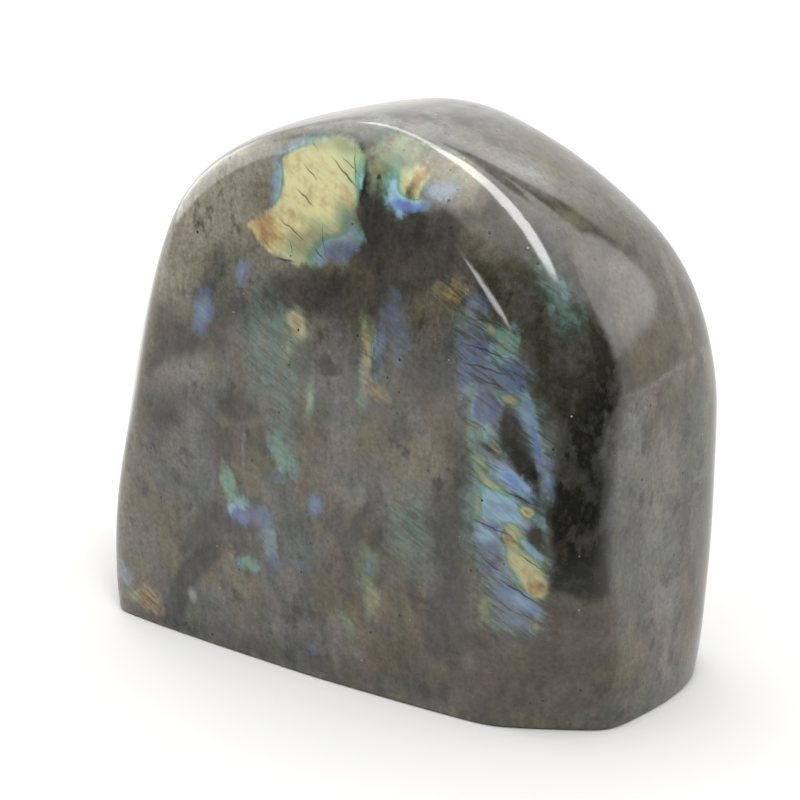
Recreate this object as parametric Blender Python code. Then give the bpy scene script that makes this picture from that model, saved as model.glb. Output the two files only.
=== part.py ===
"""A polished labradorite freeform: one piece of stone, ground all over and standing on a flat sawn base.

X runs to the right along the broad front face, Y to the back, and Z up. The origin is under the middle of
the stone, at its base. Sizes are in millimetres and angles in degrees until the finished mesh is scaled to
metres.
"""

from dataclasses import dataclass

import bmesh
import bpy
import numpy as np

METRES_PER_MM = 0.001
COLLECTION_NAME = "labradorite_freeform"
STONE_NAME = "labradorite_stone"

# The point inside the stone that the ground faces are measured from
HEART = (8.9, 1.0, 60.0)

# How wide the rounding is where the front meets its bevel, where both meet the rim, between the two faces
# of the back, and where the back meets all the others
BEVEL_ROUNDING = 2.0
FRONT_ROUNDING = 4.0
BACK_CORNER_ROUNDING = 8.0
BACK_ROUNDING = 16.0

# The eased edge around the sawn base
BASE_EASING = 0.8
BASE_EASING_STEPS = 2
WELD_DISTANCE = 0.05

# The block that the stone is ground from, and the pitch of the grid on it
BLOCK_SIZE = (120.0, 54.0, 108.0)
GRID_PITCH = 4.0
FARTHEST_REACH = 120.0
SEARCH_STEPS = 30
TINY = 0.0001

STONE_COLOUR = (0.14, 0.135, 0.115, 1.0)
POLISH_ROUGHNESS = 0.12
STONE_REFRACTION = 1.56


@dataclass(frozen=True)
class GroundFace:
    """A face ground on the stone, slightly crowned.

    A heading of 0 faces the front and 90 faces right. The lean tips the face up. The distance is from the
    heart, the crown radius is that of the face's slight bulge, and the rounding is how softly it runs into
    the faces before it.
    """

    heading: float
    lean: float
    distance: float
    crown_radius: float
    rounding: float = 0.0

    def normal(self):
        """Return the face's outward direction."""
        heading, lean = np.radians(self.heading), np.radians(self.lean)
        return np.array([np.sin(heading) * np.cos(lean), -np.cos(heading) * np.cos(lean), np.sin(lean)])

    def height(self, points):
        """Return how far each point lies outside the face, less than 0 on the stone's side of it."""
        out = points - np.array(HEART)
        along = out @ self.normal()
        across = (out * out).sum(axis=1) - along * along
        return along - self.distance + across / (2.0 * self.crown_radius)


FRONT = GroundFace(0.0, 2.2, 27.0, 496.0)
FRONT_BEVEL = GroundFace(14.6, 12.0, 36.5, 119.0)
BACK = GroundFace(180.0, 4.4, 23.7, 600.0)
BACK_BEVEL = GroundFace(135.6, 3.8, 48.3, 342.0)

# The rim, from the left side over the top to the right side
RIM = (
    GroundFace(-92.6, 4.5, 68.6, 219.0),
    GroundFace(-52.1, 11.1, 53.5, 9000.0, 14.0),
    GroundFace(-79.3, 58.8, 53.1, 96.4, 14.0),
    GroundFace(-116.0, 77.5, 46.4, 334.0, 14.0),
    GroundFace(114.4, 62.1, 44.6, 83.3, 6.0),
    GroundFace(70.2, 32.0, 46.5, 75.2, 5.0),
    GroundFace(78.9, 0.6, 48.6, 9000.0, 2.0),
)


def rounded_corner(first, second, rounding):
    """Join two faces' heights into the height over the convex corner between them, rounded off."""
    closeness = np.clip(rounding - np.abs(first - second), 0.0, None) / rounding
    return np.maximum(first, second) + closeness**3 * rounding / 6.0


def stone_height(points):
    """Return how far each point lies outside the stone as it is ground, leaving out its base."""
    rim = RIM[0].height(points)
    for face in RIM[1:]:
        rim = rounded_corner(rim, face.height(points), face.rounding)
    front = rounded_corner(FRONT.height(points), FRONT_BEVEL.height(points), BEVEL_ROUNDING)
    back = rounded_corner(BACK.height(points), BACK_BEVEL.height(points), BACK_CORNER_ROUNDING)
    return rounded_corner(rounded_corner(rim, front, FRONT_ROUNDING), back, BACK_ROUNDING)


def marked_block():
    """Make a block around the heart, from the base up, with a grid marked on its sides."""
    block = bmesh.new()
    bmesh.ops.create_cube(block, size=1.0)
    bmesh.ops.scale(block, vec=BLOCK_SIZE, verts=block.verts)
    bmesh.ops.translate(block, vec=(HEART[0], HEART[1], BLOCK_SIZE[2] / 2.0), verts=block.verts)
    for axis, size in enumerate(BLOCK_SIZE):
        along = [edge for edge in block.edges if abs(edge.verts[0].co[axis] - edge.verts[1].co[axis]) > TINY]
        bmesh.ops.subdivide_edges(block, edges=along, cuts=round(size / GRID_PITCH) - 1)
    return block


def surface_distance(starts, rays):
    """Return how far along each ray, from its start inside the stone, the ground surface lies."""
    inside = np.zeros(len(rays))
    outside = np.full(len(rays), FARTHEST_REACH)
    for _ in range(SEARCH_STEPS):
        middle = (inside + outside) / 2.0
        is_inside = stone_height(starts + rays * middle[:, None]) < 0.0
        inside = np.where(is_inside, middle, inside)
        outside = np.where(is_inside, outside, middle)
    return (inside + outside) / 2.0


def grind(block):
    """Bring every vertex of the block onto the stone's surface.

    Above the heart a vertex moves straight in or out from the heart. Below it, each level of the block moves
    in or out from the upright line through the heart, so that the levels stay level and the lowest one is the
    sawn base.
    """
    heart = np.array(HEART)
    corners = np.array([vertex.co for vertex in block.verts])
    starts = np.tile(heart, (len(corners), 1))
    starts[:, 2] = np.minimum(corners[:, 2], heart[2])
    rays = corners - starts
    reach = np.linalg.norm(rays, axis=1)
    at_axis = reach < TINY
    reach[at_axis] = 1.0
    rays /= reach[:, None]
    half_size = np.array(BLOCK_SIZE[:2]) / 2.0
    share = np.max(np.abs(corners[:, :2] - heart[:2]) / half_size, axis=1)
    share[corners[:, 2] > TINY] = 1.0
    places = starts + rays * (share * surface_distance(starts, rays))[:, None]
    for vertex, place in zip(block.verts, places):
        vertex.co = place


def ease_base(stone):
    """Ease the edge around the flat base."""
    def is_base(face):
        return all(abs(vertex.co.z) < TINY for vertex in face.verts)

    around = [edge for edge in stone.edges if sum(is_base(face) for face in edge.link_faces) == 1]
    bmesh.ops.bevel(
        stone, geom=around, offset=BASE_EASING, segments=BASE_EASING_STEPS, profile=0.5, affect="EDGES"
    )
    bmesh.ops.remove_doubles(stone, verts=stone.verts, dist=WELD_DISTANCE)


def stone_material():
    """Make the polished grey-olive stone's material."""
    material = bpy.data.materials.new(STONE_NAME)
    material.use_nodes = True
    shader = material.node_tree.nodes["Principled BSDF"]
    shader.inputs["Base Color"].default_value = STONE_COLOUR
    shader.inputs["Roughness"].default_value = POLISH_ROUGHNESS
    shader.inputs["IOR"].default_value = STONE_REFRACTION
    shader.inputs["Metallic"].default_value = 0.0
    material.diffuse_color = STONE_COLOUR
    return material


def build_stone(collection):
    """Grind the stone from its block, ease its base, and put it in the collection."""
    stone = marked_block()
    grind(stone)
    ease_base(stone)
    bmesh.ops.triangulate(stone, faces=stone.faces)
    bmesh.ops.scale(stone, vec=(METRES_PER_MM,) * 3, verts=stone.verts)
    mesh = bpy.data.meshes.new(STONE_NAME)
    stone.to_mesh(mesh)
    stone.free()
    mesh.materials.append(stone_material())
    mesh.shade_smooth()
    piece = bpy.data.objects.new(STONE_NAME, mesh)
    collection.objects.link(piece)
    return piece


def main():
    """Clear the scene and build the stone in its own collection."""
    for old in list(bpy.data.objects):
        bpy.data.objects.remove(old, do_unlink=True)
    collection = bpy.data.collections.new(COLLECTION_NAME)
    bpy.context.scene.collection.children.link(collection)
    build_stone(collection)


main()
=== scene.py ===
"""The looks of a polished labradorite freeform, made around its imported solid.

The stone is one piece, ground and polished all over, and stands on a flat sawn base. X runs to the right
along the broad front face, Y to the back and Z up. Shapes and patterns are worked out in millimetres, and
the finished mesh is scaled to metres.
"""

import logging
import math
from dataclasses import dataclass
from enum import Enum

import bmesh
import bpy
import numpy as np
from mathutils import Euler, Matrix, Vector, noise


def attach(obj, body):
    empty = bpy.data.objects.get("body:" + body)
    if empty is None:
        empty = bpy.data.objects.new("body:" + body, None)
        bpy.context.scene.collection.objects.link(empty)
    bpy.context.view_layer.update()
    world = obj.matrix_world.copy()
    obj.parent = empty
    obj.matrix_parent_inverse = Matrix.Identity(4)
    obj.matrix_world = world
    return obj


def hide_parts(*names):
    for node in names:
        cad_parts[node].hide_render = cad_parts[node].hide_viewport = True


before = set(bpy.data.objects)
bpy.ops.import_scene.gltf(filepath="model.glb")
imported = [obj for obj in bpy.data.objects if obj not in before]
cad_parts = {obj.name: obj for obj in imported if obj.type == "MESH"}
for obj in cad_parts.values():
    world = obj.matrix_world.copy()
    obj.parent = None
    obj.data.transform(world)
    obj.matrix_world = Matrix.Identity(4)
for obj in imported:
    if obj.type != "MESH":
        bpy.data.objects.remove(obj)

LOG = logging.getLogger("labradorite")
MM = 0.001
STONE_NODE = "labradorite_stone"
STONE_PIECE = "polished_stone"

Pair = tuple[float, float]
Triple = tuple[float, float, float]
Colour = tuple[float, float, float]
# A smooth step: its start and end, and what it gives there where that isn't 0 and 1
Steps = tuple[float, ...]
# A cloudy noise: the width of its lumps in millimetres, its detail, its roughness and its swirl
Clouds = tuple[float | Triple, ...]


# The shape of the stone


@dataclass(frozen=True)
class GroundFace:
    """A face ground on the stone, slightly crowned.

    A heading of 0 faces the front and 90 faces right. The lean tips the face up. The distance is from the
    heart, the crown radius is that of the face's slight bulge, and the rounding is how softly it runs into
    the faces before it.
    """

    heading: float
    lean: float
    distance: float
    crown_radius: float
    rounding: float = 0.0

    def normal(self) -> np.ndarray:
        """Return the face's outward direction."""
        heading, lean = math.radians(self.heading), math.radians(self.lean)
        return np.array(
            [math.sin(heading) * math.cos(lean), -math.cos(heading) * math.cos(lean), math.sin(lean)]
        )

    def height(self, from_heart: np.ndarray) -> np.ndarray:
        """Measure how far points lie outside the face.

        Args:
            from_heart: the points, seen from the stone's heart.

        Returns:
            One height for each point, less than 0 on the stone's side of the face.
        """
        along = from_heart @ self.normal()
        across = (from_heart * from_heart).sum(axis=1) - along * along
        return along - self.distance + across / (2.0 * self.crown_radius)


@dataclass(frozen=True)
class Ripple:
    """A long, very low wave that hand polishing leaves in the surface."""

    direction: Triple
    length: float
    height: float
    phase: float

    def lift(self, points: np.ndarray) -> np.ndarray:
        """Return how far the wave lifts the surface at each point."""
        way = np.array(self.direction) / np.linalg.norm(self.direction)
        return self.height * np.sin(points @ way * (2.0 * math.pi / self.length) + self.phase)


@dataclass(frozen=True)
class Chip:
    """A shell-shaped nick out of an edge."""

    centre: Triple
    radius: float

    def depth(self, points: np.ndarray) -> np.ndarray:
        """Return how far each point lies inside the nick."""
        return self.radius - np.linalg.norm(points - np.array(self.centre), axis=1)


def rounded_corner(first: np.ndarray, second: np.ndarray, rounding: float) -> np.ndarray:
    """Join two faces' heights over the convex corner between them.

    Args:
        first: heights above the one face.
        second: heights above the other face.
        rounding: how wide the corner is rounded off.

    Returns:
        Heights above the two faces joined.
    """
    closeness = np.clip(rounding - np.abs(first - second), 0.0, None) / rounding
    return np.maximum(first, second) + closeness**3 * rounding / 6.0


@dataclass
class PolishedStone:
    """The stone: a finely gridded block, ground to the crowned faces and polished."""

    heart: Triple = (8.9, 1.0, 60.0)
    front: GroundFace = GroundFace(0.0, 2.2, 27.0, 496.0)
    front_bevel: GroundFace = GroundFace(14.6, 12.0, 36.5, 119.0)
    back: GroundFace = GroundFace(180.0, 4.4, 23.7, 600.0)
    back_bevel: GroundFace = GroundFace(135.6, 3.8, 48.3, 342.0)
    # The rim, from the left side over the top to the right side
    rim: tuple[GroundFace, ...] = (
        GroundFace(-92.6, 4.5, 68.6, 219.0),
        GroundFace(-52.1, 11.1, 53.5, 9000.0, 14.0),
        GroundFace(-79.3, 58.8, 53.1, 96.4, 14.0),
        GroundFace(-116.0, 77.5, 46.4, 334.0, 14.0),
        GroundFace(114.4, 62.1, 44.6, 83.3, 6.0),
        GroundFace(70.2, 32.0, 46.5, 75.2, 5.0),
        GroundFace(78.9, 0.6, 48.6, 9000.0, 2.0),
    )
    bevel_rounding: float = 2.0
    front_rounding: float = 4.0
    back_corner_rounding: float = 8.0
    back_rounding: float = 16.0
    base_easing: float = 0.8
    block_size: Triple = (120.0, 54.0, 108.0)
    grid_pitch: Triple = (0.66, 1.2, 0.66)
    fine_levels_below: float = 2.0
    fine_level_cuts: int = 2
    farthest_reach: float = 120.0
    search_steps: int = 26
    ripples: tuple[Ripple, ...] = (
        Ripple((1.0, 0.3, 0.4), 31.0, 0.05, 0.4),
        Ripple((-0.5, 0.6, 1.0), 23.0, 0.04, 2.1),
        Ripple((0.8, -0.9, -0.5), 14.0, 0.018, 4.4),
        Ripple((0.2, 1.0, -0.8), 17.0, 0.02, 1.3),
    )
    chips: tuple[Chip, ...] = (
        Chip((-18.2, -27.1, -0.4), 1.9),
        Chip((-16.4, -26.6, -0.9), 1.6),
        Chip((31.5, -27.5, -0.8), 1.4),
    )

    def height(self, points: np.ndarray) -> np.ndarray:
        """Measure how far points lie outside the polished surface, leaving out the base.

        Args:
            points: places in millimetres.

        Returns:
            One height for each point, less than 0 inside the stone.
        """
        out = points - np.array(self.heart)
        rim = self.rim[0].height(out)
        for face in self.rim[1:]:
            rim = rounded_corner(rim, face.height(out), face.rounding)
        front = rounded_corner(self.front.height(out), self.front_bevel.height(out), self.bevel_rounding)
        back = rounded_corner(self.back.height(out), self.back_bevel.height(out), self.back_corner_rounding)
        stone = rounded_corner(rounded_corner(rim, front, self.front_rounding), back, self.back_rounding)
        for ripple in self.ripples:
            stone = stone + ripple.lift(points)
        for chip in self.chips:
            stone = np.maximum(stone, chip.depth(points))
        return stone

    def gridded_block(self) -> bmesh.types.BMesh:
        """Make the block around the heart, with a fine grid on its sides.

        Returns:
            The block, with closer levels just above its base, where the edge is eased.
        """
        block = bmesh.new()
        bmesh.ops.create_cube(block, size=1.0)
        bmesh.ops.scale(block, vec=self.block_size, verts=block.verts)
        middle = (self.heart[0], self.heart[1], self.block_size[2] / 2.0)
        bmesh.ops.translate(block, vec=middle, verts=block.verts)
        for axis, size in enumerate(self.block_size):
            along = [edge for edge in block.edges if self.rise(edge, axis) > MM]
            bmesh.ops.subdivide_edges(block, edges=along, cuts=round(size / self.grid_pitch[axis]) - 1)
        low = [
            edge
            for edge in block.edges
            if self.rise(edge, 2) > MM and max(v.co.z for v in edge.verts) < self.fine_levels_below
        ]
        bmesh.ops.subdivide_edges(block, edges=low, cuts=self.fine_level_cuts)
        return block

    @staticmethod
    def rise(edge: bmesh.types.BMEdge, axis: int) -> float:
        """Return how far an edge runs along an axis."""
        return abs(edge.verts[0].co[axis] - edge.verts[1].co[axis])

    def surface_distance(self, starts: np.ndarray, rays: np.ndarray) -> np.ndarray:
        """Find the polished surface along rays by halving.

        Args:
            starts: places inside the stone.
            rays: directions of length 1 from them.

        Returns:
            How far along each ray the surface lies.
        """
        inside = np.zeros(len(rays))
        outside = np.full(len(rays), self.farthest_reach)
        for _ in range(self.search_steps):
            middle = (inside + outside) / 2.0
            is_inside = self.height(starts + rays * middle[:, None]) < 0.0
            inside = np.where(is_inside, middle, inside)
            outside = np.where(is_inside, outside, middle)
        return (inside + outside) / 2.0

    def easing(self, levels: np.ndarray) -> np.ndarray:
        """Return how far the eased base edge draws each level in."""
        below = np.clip(self.base_easing - levels, 0.0, self.base_easing)
        return self.base_easing - np.sqrt(self.base_easing**2 - below**2)

    def grind(self, block: bmesh.types.BMesh) -> None:
        """Bring every vertex of the block onto the stone's surface.

        Above the heart a vertex moves straight in or out from the heart. Below it, each level moves in or
        out from the upright line through the heart, so that the levels stay level and the lowest is the
        sawn base.

        Args:
            block: the gridded block, changed in place.
        """
        heart = np.array(self.heart)
        corners = np.array([vertex.co for vertex in block.verts])
        starts = np.tile(heart, (len(corners), 1))
        starts[:, 2] = np.minimum(corners[:, 2], heart[2])
        rays = corners - starts
        reach = np.linalg.norm(rays, axis=1)
        at_axis = reach < MM
        reach[at_axis] = 1.0
        rays /= reach[:, None]
        half_size = np.array(self.block_size[:2]) / 2.0
        share = np.max(np.abs(corners[:, :2] - heart[:2]) / half_size, axis=1)
        share[corners[:, 2] > MM] = 1.0
        distance = self.surface_distance(starts, rays) - self.easing(corners[:, 2])
        places = starts + rays * (share * distance)[:, None]
        for vertex, place in zip(block.verts, places):
            vertex.co = place

    def build(self) -> bpy.types.Object:
        """Grind and polish the stone.

        Returns:
            The stone as an object at the origin, in metres.
        """
        stone = self.gridded_block()
        self.grind(stone)
        bmesh.ops.scale(stone, vec=(MM,) * 3, verts=stone.verts)
        mesh = bpy.data.meshes.new(STONE_PIECE)
        stone.to_mesh(mesh)
        stone.free()
        mesh.shade_smooth()
        piece = bpy.data.objects.new(STONE_PIECE, mesh)
        bpy.context.scene.collection.objects.link(piece)
        return piece

    def dress(self, piece: bpy.types.Object, markings: "Markings", finish: "LabradoriteFinish") -> None:
        """Give the stone its markings and finish, and set it in place of its solid.

        Args:
            piece: the stone's object.
            markings: where its flashes and tones lie.
            finish: the labradorite's finish.
        """
        markings.write(piece.data)
        piece.data.materials.append(finish.material())
        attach(piece, "root")
        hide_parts(STONE_NODE)


# Node trees


class Graph:
    """A node tree, with short calls for the nodes that the finishes use."""

    def __init__(self, tree: bpy.types.NodeTree) -> None:
        """Wrap a node tree."""
        self.tree = tree

    @classmethod
    def group(cls, name: str, inputs: dict[str, str], outputs: dict[str, str]) -> "Graph":
        """Start a shader node group.

        Args:
            name: the group's name.
            inputs: the kind of each named input: Float, Vector or Color.
            outputs: the kind of each named output.

        Returns:
            The group's graph, with its input and output nodes placed.
        """
        tree = bpy.data.node_groups.new(name, "ShaderNodeTree")
        for socket, kind in inputs.items():
            tree.interface.new_socket(socket, in_out="INPUT", socket_type=f"NodeSocket{kind}")
        for socket, kind in outputs.items():
            tree.interface.new_socket(socket, in_out="OUTPUT", socket_type=f"NodeSocket{kind}")
        graph = cls(tree)
        graph.inputs = tree.nodes.new("NodeGroupInput").outputs
        graph.outputs = tree.nodes.new("NodeGroupOutput").inputs
        return graph

    def feed(self, socket: bpy.types.NodeSocket, value: object) -> None:
        """Link a socket's output to an input, or set the input to a plain value."""
        if isinstance(value, bpy.types.NodeSocket):
            self.tree.links.new(value, socket)
        elif value is not None:
            is_colour = socket.type == "RGBA" and len(value) == 3
            socket.default_value = (*value, 1.0) if is_colour else value

    def put_out(self, **values: object) -> None:
        """Feed the group's outputs, whose spaces are written as underscores."""
        for name, value in values.items():
            self.feed(self.outputs[name.replace("_", " ")], value)

    def node(self, kind: str, inputs: dict[object, object], **settings: object) -> bpy.types.Node:
        """Add a node.

        Args:
            kind: the node's type, without its ShaderNode prefix.
            inputs: values or sockets for its inputs, by name or number.
            **settings: the node's own settings.

        Returns:
            The node.
        """
        made = self.tree.nodes.new(f"ShaderNode{kind}")
        for name, value in settings.items():
            setattr(made, name, value)
        for key, value in inputs.items():
            self.feed(made.inputs[key], value)
        return made

    def math(self, operation: str, *values: object, clamp: bool = False) -> bpy.types.NodeSocket:
        """Add a Math node and return its value."""
        return self.node("Math", dict(enumerate(values)), operation=operation, use_clamp=clamp).outputs[0]

    def vector(self, operation: str, *values: object) -> bpy.types.NodeSocket:
        """Add a Vector Math node and return what it gives, a value for a product, length or distance."""
        made = self.node("VectorMath", dict(enumerate(values)), operation=operation)
        return made.outputs["Value" if operation in ("DOT_PRODUCT", "LENGTH", "DISTANCE") else "Vector"]

    def thrice(self, value: object) -> bpy.types.NodeSocket:
        """Return a value three times over, as a vector."""
        return self.node("CombineXYZ", dict.fromkeys(range(3), value)).outputs[0]

    def place_on_piece(self) -> bpy.types.NodeSocket:
        """Return the place on the piece, in millimetres."""
        metres = self.node("TexCoord", {}).outputs["Object"]
        return self.node("Mapping", {"Vector": metres, "Scale": (1.0 / MM,) * 3}).outputs[0]

    def blend(self, share: object, first: object, second: object) -> bpy.types.NodeSocket:
        """Return the value between two values."""
        return self.node("Mix", {0: share, 2: first, 3: second}, data_type="FLOAT").outputs[0]

    def tint(self, share: object, first: object, second: object, way: str = "MIX") -> bpy.types.NodeSocket:
        """Return the colour between two colours, or the second laid on the first in another way."""
        made = self.node("Mix", {0: share, 6: first, 7: second}, data_type="RGBA", blend_type=way)
        return made.outputs[2]

    def ease(self, value: object, start: object, end: object, low: object = 0.0, high: object = 1.0
             ) -> bpy.types.NodeSocket:
        """Return a smooth step from low, at start, to high, at end."""
        inputs = {0: value, 1: start, 2: end, 3: low, 4: high}
        return self.node("MapRange", inputs, interpolation_type="SMOOTHSTEP").outputs[0]

    def noise(self, point: object, size: object, detail: float = 2.0, roughness: float = 0.5,
              distortion: float = 0.0) -> bpy.types.Node:
        """Add cloudy noise.

        Args:
            point: where it is read, in millimetres.
            size: how wide its lumps are, in millimetres, or how wide along each axis.
            detail: how often its lumps are broken up into smaller ones.
            roughness: how strong the smaller ones are.
            distortion: how far it is swirled.

        Returns:
            The noise's node.
        """
        inputs = {
            "Vector": self.vector("DIVIDE", point, size if isinstance(size, tuple) else (size,) * 3),
            "Scale": 1.0,
            "Detail": detail,
            "Roughness": roughness,
            "Distortion": distortion,
        }
        return self.node("TexNoise", inputs)

    def place(self, group: "Graph", **inputs: object) -> bpy.types.Node:
        """Place a node group; its inputs are named with underscores for spaces."""
        made = self.tree.nodes.new("ShaderNodeGroup")
        made.node_tree = group.tree
        for name, value in inputs.items():
            self.feed(made.inputs[name.replace("_", " ")], value)
        return made


# The stone's patterns


class Order(Enum):
    """Interference colours, by where they lie from the first to the last that layers give."""

    DEEP_VIOLET = 0.0
    VIOLET = 0.1
    BLUE = 0.2
    SKY = 0.32
    CYAN = 0.43
    TEAL = 0.5
    GREEN = 0.58
    LIME = 0.66
    YELLOW = 0.75
    GOLD = 0.84
    ORANGE = 0.92
    RUSSET = 1.0


DEEP_VIOLET, VIOLET, BLUE, SKY, CYAN, TEAL, GREEN, LIME, YELLOW, GOLD, ORANGE, RUSSET = Order

ORDER_COLOURS: dict[Order, Colour] = {
    DEEP_VIOLET: (0.05, 0.045, 0.12),
    VIOLET: (0.12, 0.13, 0.31),
    BLUE: (0.1, 0.19, 0.36),
    SKY: (0.22, 0.34, 0.48),
    CYAN: (0.24, 0.42, 0.45),
    TEAL: (0.13, 0.31, 0.28),
    GREEN: (0.2, 0.33, 0.2),
    LIME: (0.37, 0.43, 0.24),
    YELLOW: (0.52, 0.48, 0.26),
    GOLD: (0.42, 0.34, 0.14),
    ORANGE: (0.31, 0.18, 0.08),
    RUSSET: (0.12, 0.08, 0.04),
}


@dataclass(frozen=True)
class Oval:
    """An oval place on one side of the stone, seen straight on.

    Its middle lies x millimetres across that side and z up it, its half sizes are in millimetres, and its
    turn is in degrees, more than 0 where its top leans to the left.
    """

    x: float
    z: float
    half_width: float
    half_height: float
    turn: float = 0.0

    def axes(self) -> tuple[Pair, Pair]:
        """Return the oval's axes, each divided by the half size along it."""
        c, s = math.cos(math.radians(self.turn)), math.sin(math.radians(self.turn))
        return (c / self.half_width, s / self.half_width), (-s / self.half_height, c / self.half_height)

    def inside(self, points: np.ndarray) -> np.ndarray:
        """Return about how many millimetres each point lies inside the oval's edge."""
        across, up = (np.array(axis) for axis in self.axes())
        offset = points - np.array([self.x, self.z])
        return (1.0 - np.hypot(offset @ across, offset @ up)) * min(self.half_width, self.half_height)


@dataclass(frozen=True)
class Outline:
    """A place on one side of the stone with corners, in millimetres, in order round it."""

    corners: tuple[Pair, ...]

    def inside(self, points: np.ndarray) -> np.ndarray:
        """Measure how far points lie inside the outline.

        Args:
            points: places on the side, seen straight on.

        Returns:
            One distance in millimetres for each point, less than 0 outside.
        """
        distance = np.full(len(points), np.inf)
        crossings = np.zeros(len(points), dtype=bool)
        for start, end in zip(self.corners, self.corners[1:] + self.corners[:1]):
            first, along = np.array(start), np.array(end) - np.array(start)
            offset = points - first
            share = np.clip(offset @ along / (along @ along), 0.0, 1.0)
            distance = np.minimum(distance, np.linalg.norm(offset - share[:, None] * along, axis=1))
            if along[1]:
                between = (points[:, 1] < start[1]) != (points[:, 1] < end[1])
                crossings ^= between & (offset[:, 0] < along[0] * offset[:, 1] / along[1])
        return np.where(crossings, distance, -distance)


@dataclass(frozen=True)
class Flash:
    """A place where layers flash, in one colour at its heart and another at its rim.

    Streaks is how far fine dark streaks cross it. A flash within others changes their colour and strength
    there, and not how far they reach. One of strength 0 takes the flashes below it away.
    """

    place: Oval | Outline
    heart: Order
    rim: Order
    strength: float = 0.5
    softness: float = 1.0
    streaks: float = 0.3
    within: bool = False


@dataclass(frozen=True)
class Tone:
    """A place where the stone itself is darker, paler or of another colour."""

    place: Oval | Outline
    colour: Colour
    strength: float = 0.6
    softness: float = 1.8


@dataclass(frozen=True)
class Crack:
    """A healed crack that shows as a thin line from one place to another, seen straight on."""

    start: Pair
    end: Pair
    half_width: float = 0.22
    strength: float = 0.7

    def oval(self) -> Oval:
        """Return the crack as a long thin oval."""
        (x0, z0), (x1, z1) = self.start, self.end
        turn = math.degrees(math.atan2(z1 - z0, x1 - x0))
        half_length = math.hypot(x1 - x0, z1 - z0) / 2.0
        return Oval((x0 + x1) / 2.0, (z0 + z1) / 2.0, half_length, self.half_width, turn)


DARK = (0.034, 0.033, 0.027)
BLACK_OLIVE = (0.022, 0.021, 0.013)
BLACK = (0.007, 0.007, 0.005)
BROWN = (0.055, 0.043, 0.025)
SLATE = (0.024, 0.024, 0.022)
BEIGE = (0.205, 0.192, 0.148)
OLIVE = (0.11, 0.104, 0.076)
DEEP_OLIVE = (0.056, 0.048, 0.029)
GREENISH = (0.1, 0.108, 0.086)
MILKY = (0.2, 0.205, 0.205)
# The colour of a painted reflection, a pale sheen along the left rim
PAINTED_RIM_REFLECTION = (0.34, 0.32, 0.26)
ROSY = (0.2, 0.165, 0.13)
RUSTY = (0.1, 0.06, 0.035)

SLATE_OUTLINE = (
    (-26.9, 22.8), (-23.3, 20.6), (-29.3, 14.7), (-31.9, 8.5), (-36.5, 0), (-40.3, 0), (-37.6, 9.1),
    (-34.2, 16.6),
)

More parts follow.
